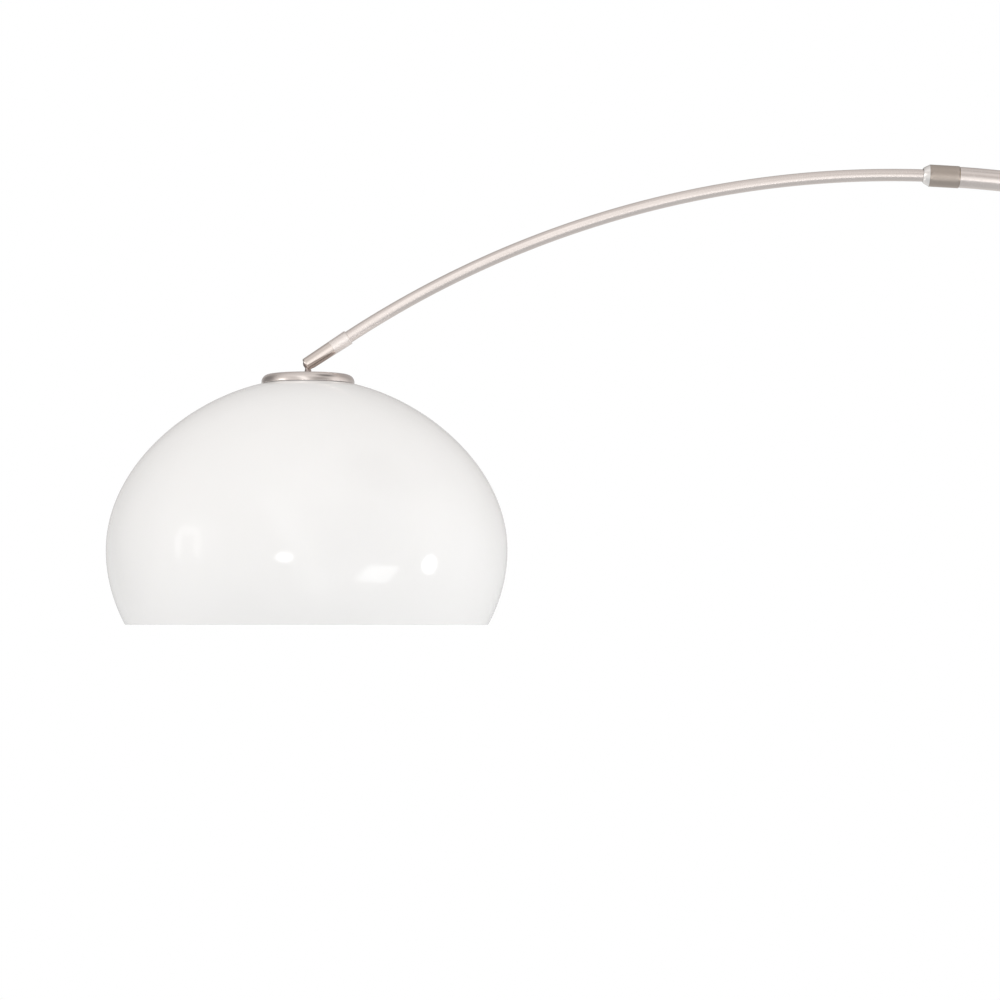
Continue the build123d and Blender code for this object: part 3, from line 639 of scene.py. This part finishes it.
def make_gland():
    """Nipple with a grip of fine ribs round its head, and a rounded mouth for the cord."""
    low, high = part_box("cord_gland")
    start, length = low.x, (high.x - low.x) / MM
    bore_r, thread_r, head_r = 3.6, 6.5, 9.0
    head, taper = length - 10.95, length - 5.95
    corners = [
        (bore_r, 0),
        (thread_r, 0),
        (thread_r, head),
        (head_r, head),
        (head_r, taper),
        (head_r - 3, length),
        (bore_r, length),
    ]
    outline = divided(softened(corners, [0.3, 0.4, 0.2, 0.5, 1.2, 1.0, 0.9]), 0.6)
    ribs, depth = 24, 0.35

    def rib(angle):
        return 0.5 + 0.5 * math.cos(ribs * angle)

    ribbed = grooved(head_r - 0.4, depth, rib, head + 0.6, taper - 0.2, 0.6)
    mesh = lathe("ribbed_gland", outline, 240, ribbed)
    place = facing(Vector((start, 0, (low.z + high.z) / 2)), (1, 0, 0))
    piece(mesh, "foot", "black_plastic", "cord_gland", place=place)


def make_knob():
    """Thumb-screw knob with a straight knurl between two plain bands."""
    low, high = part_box("thumb_screw_knob")
    start, end = 0.0, (high.x - low.x) / MM
    knob_r, hole_r, neck_r, hole_depth = 8.0, 3.0, 5.0, 6.5
    corners = [
        (hole_r, start),
        (neck_r, start),
        (neck_r, 3.0),
        (knob_r, 3.0),
        (knob_r, end),
        (4.2, end),
        (3.4, end - 0.5),
        (0, end - 0.6),
    ]
    outline = [(0, hole_depth), (hole_r, hole_depth)]
    outline += softened(corners, [0.2, 0.4, 0.5, 0.8, 1.1, 0.3, 0.3, 0], closed=False)
    beyond = knob_r - 0.05
    outline = dense(outline, 0.4, lambda point: point[0] > beyond)
    knurls, depth = 36, 0.45

    def knurl(angle):
        return abs(math.sin(knurls * angle / 2))

    mesh = lathe("knurled_knob", outline, 432, grooved(beyond, depth, knurl, 4.2, end - 1.4, 0.4))
    place = facing(Vector((low.x, 0, (low.z + high.z) / 2)), (1, 0, 0))
    piece(mesh, "thumb_screw", "nickel_turned", "thumb_screw_knob", place=place)


# ---- arc and arm ---------------------------------------------------------------------------------
def arc_length(start_deg, end_deg):
    """Length along the arc's centreline, in millimetres."""
    return math.radians(end_deg - start_deg) * ARC_R / MM


def make_tubes():
    """The two halves of the arc tube and the arm, each one bent without a flat."""
    joint_deg, end_deg = 43.0, 86.15
    arm_in, arm_out, arm_straight = 83.55, 123.33, 14.0
    foot = heights("arc_tube_lower", ARC_CENTRE.z)[0]
    arc_wall, arm_wall = (11.0, 9.5), (6.5, 5.5)
    lip, step = 0.3, 9.0
    gap = 0.15  # shows the joint between the two halves as a fine line

    def tube(name, wall, low, high):
        outer, bore = wall
        ring = [(bore, low), (outer, low), (outer, high), (bore, high)]
        return lathe(name, divided(softened(ring, lip), step), 72)

    first = tube("arc_tube_first", arc_wall, foot, arc_length(0, joint_deg) - gap)
    piece(along_arc(first, 0, True), "arc", "nickel_tube", "arc_tube_lower", place=AT_ARC)
    second = tube("arc_tube_second", arc_wall, 0, arc_length(joint_deg, end_deg))
    piece(along_arc(second, joint_deg), "arc", "nickel_tube", "arc_tube_upper", place=AT_ARC)
    third = tube("arm_curve", arm_wall, 0, arc_length(arm_in, arm_out) + arm_straight)
    third = along_arc(third, arm_in, False, arm_out)
    piece(third, "arm", "nickel_arm", "arm_tube", place=AT_ARC)


def make_nut():
    """Barrel nut: a grip of fine knurls between two plain bands, and a polished nose."""
    start, nose = 0.3, 6.5
    nut_r, thread_r, bore, lip = 11.65, 9.7, 7.1, 7.4
    end = NUT_SHOULDER + nose
    grip = [
        (thread_r, start),
        (nut_r, start),
        (nut_r, NUT_SHOULDER - 0.15),
        (nut_r - 0.35, NUT_SHOULDER),
    ]
    inside = [(lip - 0.05, end), (bore, end - 0.1), (bore, 34.5), (9.5, 27.0), (thread_r, 26.0)]
    steps, bulge = 14, 0.75
    round_nose = []
    for i in range(1, steps + 1):
        left = 1 - i / steps
        wide = lip + (nut_r - 0.4 - lip) * left**bulge
        round_nose.append((wide, NUT_SHOULDER + 0.15 + (nose - 0.15) * (1 - left)))
    beyond = nut_r - 0.02
    outline = softened(grip, [0.2, 0.5, 0, 0], closed=False)
    outline = dense(outline, 0.5, lambda point: point[0] > beyond) + round_nose + inside
    knurls, depth = 90, 0.06

    def knurl(angle):
        return 0.5 - 0.5 * math.cos(knurls * angle)

    knurled = grooved(beyond, depth, knurl, 1.9, NUT_SHOULDER - 1.3, 0.5)
    mesh = lathe("knurled_nut", outline, 720, knurled)
    piece(mesh, "clamp_nut", "nickel_nut", "telescope_nut", place=facing(NUT_POS, NUT_DIR))


# ---- head ----------------------------------------------------------------------------------------
# The dome, in millimetres. Its outline is two ellipses that meet at its widest ring, drawn in by
# the pinch towards the top and the rim. Drops are measured down from the ball's centre, and the
# rim from the widest ring.
DOME_R, DOME_UPPER, DOME_LOWER, DOME_PINCH = 210.0, 180.6, 195.3, 0.085
DOME_DROP, RIM_BELOW, DOME_WALL, DOME_HOLE_R = 15.9, 78.2, 3.0, 5.6
STUD_R, CAP_DROP = 4.9, 9.9


def dome_point(angle, inset):
    """Point of the dome's half outline: 0 is its widest ring and a right angle is its top."""
    tall = DOME_UPPER if angle > 0 else DOME_LOWER
    radius = (DOME_R - inset) * math.cos(angle) * (1 - DOME_PINCH * math.sin(angle) ** 2)
    return radius, -DOME_DROP - DOME_UPPER + (tall - inset) * math.sin(angle)


def make_dome():
    """Blown dome with an even wall and a polished, rounded rim."""
    steps, rim_round = 96, 1.3

    def wall(inset):
        low = -math.asin(RIM_BELOW / (DOME_LOWER - inset))
        high = math.acos(DOME_HOLE_R / ((DOME_R - inset) * (1 - DOME_PINCH)))
        return [dome_point(low + (high - low) * i / steps, inset) for i in range(steps + 1)]

    outer, inner = wall(0), wall(DOME_WALL)
    rim = softened([outer[2], outer[0], inner[0], inner[2]], rim_round, closed=False, steps=6)
    outline = rim[::-1][:-1] + outer[2:] + inner[:2:-1]
    piece(lathe("shade_dome", outline, 256), "shade_head", "opal_acrylic", "shade", place=AT_BALL)


def crowned(hole, radius, high, crown, rounding):
    """Half section of a domed disc, from its hole to the end of its rounded edge."""
    lean = math.atan(2 * crown * (radius - rounding) / radius**2)
    meet = radius - rounding + rounding * math.sin(lean)
    centre_z = high - crown * (meet / radius) ** 2 - rounding * math.cos(lean)
    steps = 10
    points = []
    for i in range(steps):
        r = hole + (meet - hole) * i / steps
        points.append((r, high - crown * (r / radius) ** 2))
    for i in range(steps + 1):
        angle = (math.pi / 2 - lean) * (1 - i / steps)
        out, up = rounding * math.cos(angle), rounding * math.sin(angle)
        points.append((radius - rounding + out, centre_z + up))
    return points


def make_cap():
    """Spun cap: crowned top, rounded shoulder and a thin rolled lip on the dome."""
    low, high = heights("shade_cap", BALL.z)
    radius = (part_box("shade_cap")[1].x - BALL.x) / MM
    wall, crown, shoulder_round, hole = 1.5, 2.6, 8.0, STUD_R + 0.15
    outer = crowned(hole, radius, high, crown, shoulder_round)
    inner = crowned(hole, radius - wall, high - wall, crown, shoulder_round - wall)
    lip = [(radius, low), (radius - wall, low)]
    outline = outer + lip + inner[::-1]
    rounding = [0.6 if point in lip else 0.0 for point in outline]
    mesh = lathe("cap_shell", softened(outline, rounding, steps=8), 192)
    piece(mesh, "shade_head", "nickel_spun", "shade_cap", place=AT_BALL)


def make_neck():
    """Ball, waisted neck, flared foot and the hollow stud, turned in one piece."""
    ball_r, neck_r, bore_r = 5.4, 3.2, 1.8
    bottom = heights("swivel_ball", BALL.z)[0]
    flare = -CAP_DROP + 0.15
    start, end = math.asin(bore_r / ball_r), math.pi - math.asin(neck_r / ball_r)
    steps = 20
    ball = []
    for i in range(steps + 1):
        angle = start + (end - start) * i / steps
        ball.append((ball_r * math.sin(angle), ball_r * math.cos(angle)))
    waist = [(neck_r, flare + 3.4), (neck_r + 0.35, flare + 1.7), (STUD_R - 0.3, flare)]
    stud = [(STUD_R - 0.05, flare - 0.3), (STUD_R - 0.05, bottom), (bore_r, bottom)]
    mesh = lathe("swivel_neck", ball + waist + stud, 72)
    piece(mesh, "swivel", "nickel_neck", "swivel_ball", place=AT_BALL)


def make_holder():
    """Lampholder: a stepped cap with a locking ring, and a skirt with grip ribs."""
    radius, wall = 19.5, 2.0
    low, high = heights("lampholder_cap", BALL.z)
    bore = STUD_R + 0.15
    corners = [
        (bore, high),
        (9.0, high),
        (9.0, high - 5),
        (14.0, high - 6.5),
        (radius, high - 12),
        (radius, low),
        (radius - wall, low),
        (radius - wall, high - 13),
        (13.0, high - 8.5),
        (bore, high - 8.5),
    ]
    rounding = [0.3, 0.8, 0.6, 1.5, 2.0, 0.5, 0.3, 0.8, 0.5, 0.2]
    mesh = lathe("holder_cap", softened(corners, rounding), 96)
    piece(mesh, "shade_head", "black_plastic", "lampholder_cap", place=AT_BALL)

    low, high = heights("lampholder_skirt", BALL.z)
    mouth = 14.5
    corners = [
        (radius - wall, high),
        (radius, high),
        (radius, low),
        (mouth, low),
        (mouth, low + 2),
        (radius - wall, low + 2),
    ]
    outline = divided(softened(corners, [0.3, 0.5, 1.2, 0.8, 0.4, 0.4]), 1.0)
    ribs, depth = 24, 0.9

    def rib(angle):
        return max(0.0, math.cos(ribs * angle)) ** 2

    ribbed = grooved(radius - 0.01, depth, rib, low + 5, low + 23, 2)
    mesh = lathe("holder_skirt", outline, 288, ribbed)
    piece(mesh, "shade_head", "black_plastic", "lampholder_skirt", place=AT_BALL)


def make_bulb():
    """Frosted bulb with a screw base whose thread is a real helix."""
    low, high = heights("bulb_screw_base", BALL.z)
    thread_r, pitch, depth, wall = 13.1, 3.6, 0.9, 1.0
    corners = [(0, low), (thread_r, low), (thread_r, high - 1.2), (10.0, high), (0, high)]
    outline = softened(corners, [0, 0.2, 0.5, 0.4, 0], closed=False)
    outline = dense(outline, 0.3, lambda point: point[0] > thread_r - 0.01)

    def threaded(reach, height, angle):
        if reach < thread_r - 0.01:
            return min(reach, thread_r - depth)
        wave = 0.5 + 0.5 * math.cos(2 * math.pi * (height / pitch) + angle)
        return reach - depth * (1 - faded(height, low + 3.0, high - 2.5, 1.5) * wave)

    mesh = lathe("bulb_thread", outline, 96, threaded)
    piece(mesh, "shade_head", "brass", "bulb_screw_base", place=AT_BALL)

    bottom, top = heights("bulb_glass", BALL.z)
    ball_r, neck_r, touch = 30.0, thread_r - depth, math.radians(35)
    centre = bottom + ball_r
    steps = 28

    def glass(inset):
        reach = ball_r - inset
        ball = []
        for i in range(steps + 1):
            angle = -math.pi / 2 + (math.pi / 2 + touch) * i / steps
            ball.append((reach * math.cos(angle) if i else 0, centre + reach * math.sin(angle)))
        leave, end = Vector(ball[-1]), Vector((neck_r - inset, top))
        pull = (end - leave).length * 0.45
        out = leave + Vector((-math.sin(touch), math.cos(touch))) * pull
        back = end - Vector((0, pull))
        neck = []
        for i in range(1, steps + 1):
            t = i / steps
            point = leave * (1 - t) ** 3 + out * 3 * t * (1 - t) ** 2
            point = point + back * 3 * t * t * (1 - t) + end * t**3
            neck.append(tuple(point))
        return ball + neck

    mesh = lathe("bulb_envelope", glass(0) + glass(wall)[::-1], 128)
    piece(mesh, "shade_head", "frosted_glass", "bulb_glass", place=AT_BALL)


make_base()
make_pad()
make_stem()
make_button()
make_gland()
make_knob()
make_tubes()
make_nut()
make_dome()
make_cap()
make_neck()
make_holder()
make_bulb()


# ---- studio --------------------------------------------------------------------------------------
CAMERA_X, CAMERA_AWAY, LOOK_UP = -1.4595, 3.045, 0.131
FOCAL_LENGTH = 104.4  # millimetres, on a sensor 36 mm wide


def make_camera():
    """Level with the rim and square to the arc's plane, looking up a little."""
    camera = bpy.data.objects.new("camera", bpy.data.cameras.new("camera"))
    bpy.context.scene.collection.objects.link(camera)
    camera.data.sensor_width = 36.0
    camera.data.lens = FOCAL_LENGTH
    camera.location = (CAMERA_X, -CAMERA_AWAY, RIM_Z)
    camera.rotation_euler = (math.radians(90) + math.atan2(LOOK_UP, CAMERA_AWAY), 0, 0)
    bpy.context.scene.camera = camera
    return camera


# Radiance of the room that the lamp reflects, by the height of the direction, from -1 to 1.
ROOM_FRONT = [
    (-1.0, (0.61, 0.615, 0.62)),
    (-0.75, (0.63, 0.635, 0.64)),
    (-0.55, (0.71, 0.71, 0.71)),
    (-0.30, (0.83, 0.82, 0.81)),
    (0.10, (0.82, 0.80, 0.79)),
    (0.45, (0.77, 0.74, 0.72)),
    (0.75, (0.90, 0.88, 0.87)),
    (1.0, (0.76, 0.74, 0.73)),
]
ROOM_BACK = [
    (-1.0, (0.61, 0.615, 0.62)),
    (-0.6, (0.76, 0.75, 0.74)),
    (-0.1, (0.64, 0.64, 0.64)),
    (0.25, (0.48, 0.46, 0.45)),
    (0.65, (0.46, 0.44, 0.43)),
    (0.9, (0.66, 0.64, 0.63)),
    (1.0, (0.76, 0.74, 0.73)),
]
# Round screens and soft lamps: azimuth (0 is the camera's side, 90 is +X), height, inner and outer
# angle, and what is left of the light there.
SCREENS = [
    (35, 12, 6, 32, 0.58),
    (-118, 10, 14, 36, 0.55),
    (-63, 8, 4, 20, 1.5),
    (95, 10, 10, 34, 1.45),
    (66, 54, 8, 22, 0.25),
]
# Slanted strip lamp in front: its two ends as (azimuth, height), its half width where it is bright
# and where it has faded out, and how far it fades at its ends, in degrees.
STRIP_ENDS, STRIP_HALF, STRIP_FADE = ((13, -36), (-21, 46)), (2, 13), 6
STRIP_LIGHT = (1.40, 1.39, 1.38)


def room_direction(azimuth_deg, height_deg):
    """Unit vector to a place in the room."""
    azimuth, height = math.radians(azimuth_deg), math.radians(height_deg)
    flat = math.cos(height)
    return Vector((math.sin(azimuth) * flat, -math.cos(azimuth) * flat, math.sin(height)))


def make_world():
    """White to the camera. What the lamp reflects is a pale room with a dark floor."""
    world = bpy.data.worlds.new("studio")
    bpy.context.scene.world = world
    world.use_nodes = True
    tree = Nodes(world.node_tree)
    tree.nodes.clear()
    direction = tree.add("ShaderNodeTexCoord").outputs["Generated"]
    axes = tree.split(direction)
    place = tree.span(axes["Z"], -1.0, 1.0)

    def room(stops):
        return tree.ramp(place, [((height + 1) / 2, colour) for height, colour in stops])

    def closeness(towards, inner, outer, far=0.0, near=1.0):
        """From far to near as the direction comes within the outer and then the inner angle."""
        limits = math.cos(math.radians(outer)), math.cos(math.radians(inner))
        return tree.span(tree.dot(direction, towards), *limits, far, near, "SMOOTHSTEP")

    behind = tree.span(axes["Y"], -0.3, 0.3)
    light = tree.mix(behind, room(ROOM_FRONT), room(ROOM_BACK))
    for azimuth, height, inner, outer, left in SCREENS:
        share = closeness(room_direction(azimuth, height), inner, outer, 1.0, left)
        inputs = {0: light, "Scale": share}
        light = tree.add("ShaderNodeVectorMath", inputs, operation="SCALE").outputs[0]

    first, last = (room_direction(*end) for end in STRIP_ENDS)
    across, middle = first.cross(last).normalized(), (first + last).normalized()
    half_length = math.degrees(first.angle(last)) / 2
    along = closeness(middle, half_length - STRIP_FADE, half_length + STRIP_FADE)
    aside = tree.math("ABSOLUTE", tree.dot(direction, across))
    bright, dark = (math.sin(math.radians(angle)) for angle in STRIP_HALF)
    inside = tree.span(aside, dark, bright, kind="SMOOTHSTEP")
    light = tree.mix(tree.math("MULTIPLY", along, inside), light, STRIP_LIGHT)

    reflected = tree.add("ShaderNodeBackground", {"Color": light, "Strength": 1.0})
    white = tree.add("ShaderNodeBackground", {"Color": (1, 1, 1, 1)})
    seen = tree.add("ShaderNodeLightPath").outputs["Is Camera Ray"]
    inputs = {0: seen, 1: reflected.outputs[0], 2: white.outputs[0]}
    mix = tree.add("ShaderNodeMixShader", inputs)
    tree.add("ShaderNodeOutputWorld", {0: mix.outputs[0]})


FLOOR_R, FLOOR_GAP, FLOOR_FADE = 8.0, 0.0005, (1.5, 4.7)  # metres


def make_floor():
    """Pale round floor that fades into the white background. It doesn't show from below."""
    mesh = bpy.data.meshes.new("floor")
    shape = bmesh.new()
    bmesh.ops.create_circle(shape, cap_ends=True, segments=96, radius=FLOOR_R)
    shape.to_mesh(mesh)
    shape.free()
    floor = bpy.data.objects.new("floor", mesh)
    bpy.context.scene.collection.objects.link(floor)
    floor.location = ((cad_low.x + cad_high.x) / 2, 0, -FLOOR_GAP)
    tree = Tree("floor", Roughness=0.9)
    tree.colour(tree.mix(tree.noise(3.0), (0.84, 0.84, 0.84), (0.86, 0.86, 0.86)))
    away = tree.add("ShaderNodeVectorMath", {0: tree.object}, operation="LENGTH").outputs["Value"]
    glow = tree.add("ShaderNodeEmission", {"Color": (1, 1, 1, 1), "Strength": 1.0})
    inputs = {0: tree.span(away, *FLOOR_FADE), 1: tree.shader.outputs[0], 2: glow.outputs[0]}
    blend = tree.add("ShaderNodeMixShader", inputs)
    clear = tree.add("ShaderNodeBsdfTransparent")
    under = tree.add("ShaderNodeNewGeometry").outputs["Backfacing"]
    inputs = {0: under, 1: blend.outputs[0], 2: clear.outputs[0]}
    sided = tree.add("ShaderNodeMixShader", inputs)
    tree.put(sided.outputs[0], tree.nodes["Material Output"].inputs["Surface"])
    floor.data.materials.append(tree.material)
    floor.visible_diffuse = floor.visible_glossy = floor.visible_shadow = False


def dome_spot(azimuth_deg, above_rim):
    """Point of the dome's outside and the way it faces. Azimuth 0 is the front and 90 is +X."""
    height = above_rim - RIM_BELOW
    tall = DOME_UPPER if height > 0 else DOME_LOWER
    angle, near = math.asin(height / tall), 0.01
    azimuth = math.radians(azimuth_deg)
    (low_r, low_z), (high_r, high_z) = dome_point(angle - near, 0), dome_point(angle + near, 0)
    radius, z = dome_point(angle, 0)
    out = Vector((math.sin(azimuth), -math.cos(azimuth), 0))
    facing_way = (out * (high_z - low_z) + Vector((0, 0, low_r - high_r))).normalized()
    return BALL + out * radius * MM + Vector((0, 0, z * MM)), facing_way


LAMP_AWAY = 2.0  # metres from the dome


def reflected_light(
    name, azimuth_deg, above_rim, size, radiance, colour=(1, 1, 1), aside=(0, 0), shape="ELLIPSE"
):
    """Lamp that the dome mirrors to the camera at one spot, moved aside by metres in its plane."""
    spot, out = dome_spot(azimuth_deg, above_rim)
    look = (spot - camera.location).normalized()
    back = look - 2 * look.dot(out) * out
    light = bpy.data.lights.new(name, "AREA")
    light.shape = shape
    light.size, light.size_y = size
    light.energy = radiance * math.pi * size[0] * size[1]
    light.color = colour
    lamp = bpy.data.objects.new(name, light)
    bpy.context.scene.collection.objects.link(lamp)
    turn = back.to_track_quat("Z", "Y").to_matrix().to_4x4()
    moved = Matrix.Translation((*aside, 0))
    lamp.matrix_world = Matrix.Translation(spot + back * LAMP_AWAY) @ turn @ moved
    lamp.visible_camera = False


# Radiance of the six square lamps that box the room in, and how far away they are, in metres.
AMBIENT = {
    "x_low": 0.25,
    "x_high": 0.32,
    "y_low": 0.03,
    "y_high": 0.28,
    "z_low": 0.05,
    "z_high": 0.32,
}
AMBIENT_AWAY = 5.0


def ambient_light():
    """Lamps all round that light matt surfaces and don't show in shiny ones."""
    middle = (cad_low + cad_high) / 2
    for name, radiance in AMBIENT.items():
        side = 1 if name.endswith("high") else -1
        towards = Vector([side if axis == name[0] else 0 for axis in "xyz"])
        light = bpy.data.lights.new("ambient_" + name, "AREA")
        light.shape = "SQUARE"
        light.size = 2 * AMBIENT_AWAY
        light.energy = radiance * math.pi * light.size**2
        lamp = bpy.data.objects.new(light.name, light)
        bpy.context.scene.collection.objects.link(lamp)
        turn = towards.to_track_quat("Z", "Y").to_matrix().to_4x4()
        lamp.matrix_world = Matrix.Translation(middle + towards * AMBIENT_AWAY) @ turn
        lamp.visible_camera = lamp.visible_glossy = False


# Soft arch with a darker middle: part, size and place, in metres.
ARCH_GLOW = [
    ("first", (0.20, 0.70), (-0.24, 0)),
    ("second", (0.20, 0.70), (0.24, 0)),
    ("top", (0.52, 0.26), (0, 0.34)),
]


def make_lights():
    """The soft lamps and the slanted window that the dome mirrors, and the ambient lamps."""
    reflected_light("lamp_front", -2.4, 66, (0.38, 0.28), 3.6)
    reflected_light("lamp_right", 39.2, 60, (0.40, 0.42), 4.0, (0.97, 0.98, 1.0))
    for part, size, aside in ARCH_GLOW:
        reflected_light("arch_" + part, -30.5, 80, size, 0.8, aside=aside)
    panes, width, height, slant = 5, 0.70, 0.44, 0.55
    for i in range(panes):
        up = (i + 0.5) / panes - 0.5
        aside = (slant * height * up, height * up)
        pane, colour = (width, height / panes), (0.95, 0.97, 1.0)
        reflected_light("window_%d" % i, 23.2, 50, pane, 2.5, colour, aside, "RECTANGLE")
    ambient_light()


camera = make_camera()
make_world()
make_floor()
make_lights()
bpy.context.scene.view_settings.view_transform = "Standard"
